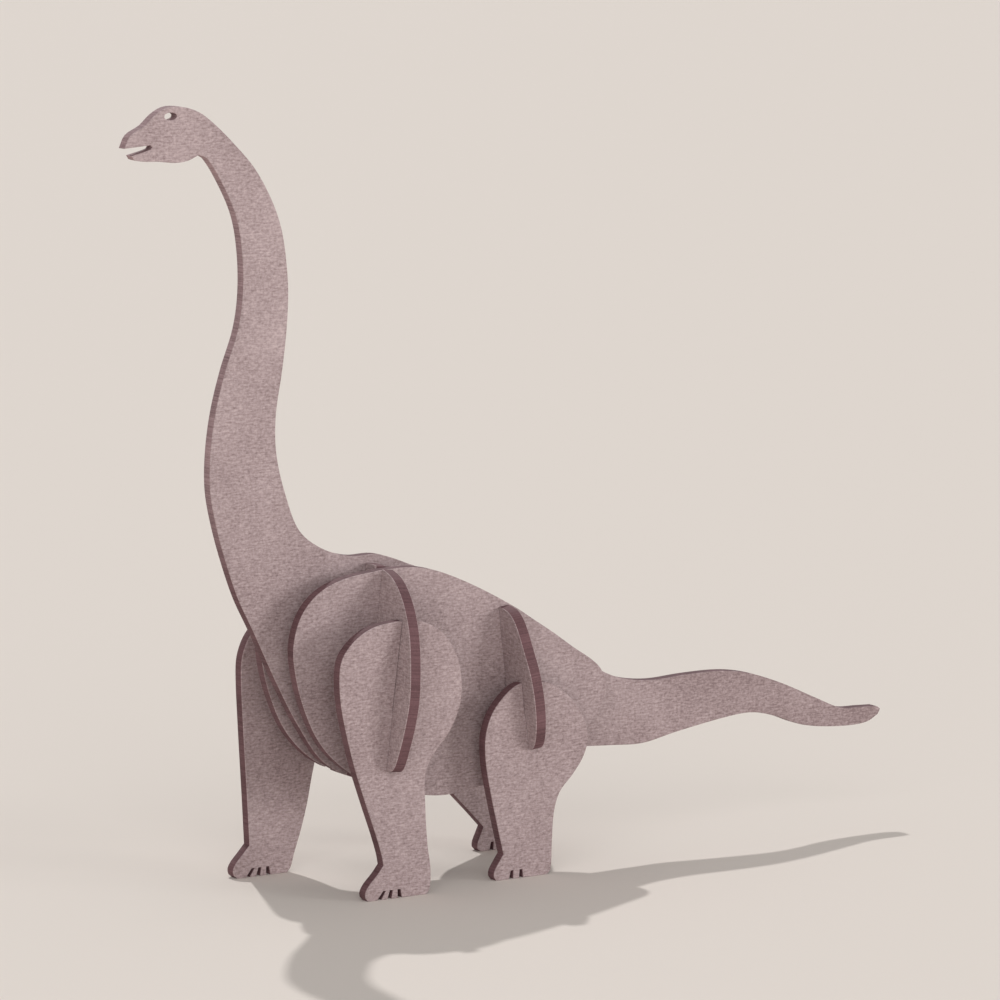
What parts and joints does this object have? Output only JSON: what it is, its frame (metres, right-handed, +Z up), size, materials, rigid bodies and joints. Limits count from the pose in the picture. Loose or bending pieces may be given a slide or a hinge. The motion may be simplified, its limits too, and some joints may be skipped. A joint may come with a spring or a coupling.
{
  "type": "slot-together dinosaur puzzle",
  "caption": "Long-necked dinosaur that stands on four feet, put together from flat boards that cross in slots.",
  "frame": {"origin": "middle of the bounding box in plan, at the soles of the feet", "axes": "+Z up, -X the way the dinosaur faces, -Y its left side; the body plate stands in the XZ plane"},
  "size_m": [0.22, 0.057, 0.193],
  "materials": {
    "body_board": "matt printed board",
    "rib_board": "matt printed board",
    "leg_board": "matt printed board"
  },
  "bodies": {
    "body": {"body_profile": "body_board", "torso_plate_left": "body_board", "torso_plate_right": "body_board"},
    "shoulder_rib": {"shoulder_rib": "rib_board"},
    "hip_rib": {"hip_rib": "rib_board"},
    "front_leg_left": {"front_leg_left": "leg_board"},
    "front_leg_right": {"front_leg_right": "leg_board"},
    "rear_leg_left": {"rear_leg_left": "leg_board"},
    "rear_leg_right": {"rear_leg_right": "leg_board"}
  },
  "joints": [
    {"name": "shoulder_rib_slot", "type": "slide", "parent": "shoulder_rib", "child": "body", "axis": [0.1305, 0, 0.9914], "range_m": [0, 0.037]},
    {"name": "hip_rib_slot", "type": "slide", "parent": "body", "child": "hip_rib", "axis": [0.1045, 0, -0.9945], "range_m": [0, 0.027]},
    {"name": "front_leg_left_slot", "type": "slide", "parent": "front_leg_left", "child": "shoulder_rib", "axis": [0.1305, 0, 0.9914], "range_m": [0, 0.023]},
    {"name": "front_leg_right_slot", "type": "slide", "parent": "shoulder_rib", "child": "front_leg_right", "axis": [-0.1305, 0, -0.9914], "range_m": [0, 0.023]},
    {"name": "rear_leg_left_slot", "type": "slide", "parent": "hip_rib", "child": "rear_leg_left", "axis": [0.1045, 0, -0.9945], "range_m": [0, 0.01]},
    {"name": "rear_leg_right_slot", "type": "slide", "parent": "hip_rib", "child": "rear_leg_right", "axis": [0.1045, 0, -0.9945], "range_m": [0, 0.01]}
  ]
}
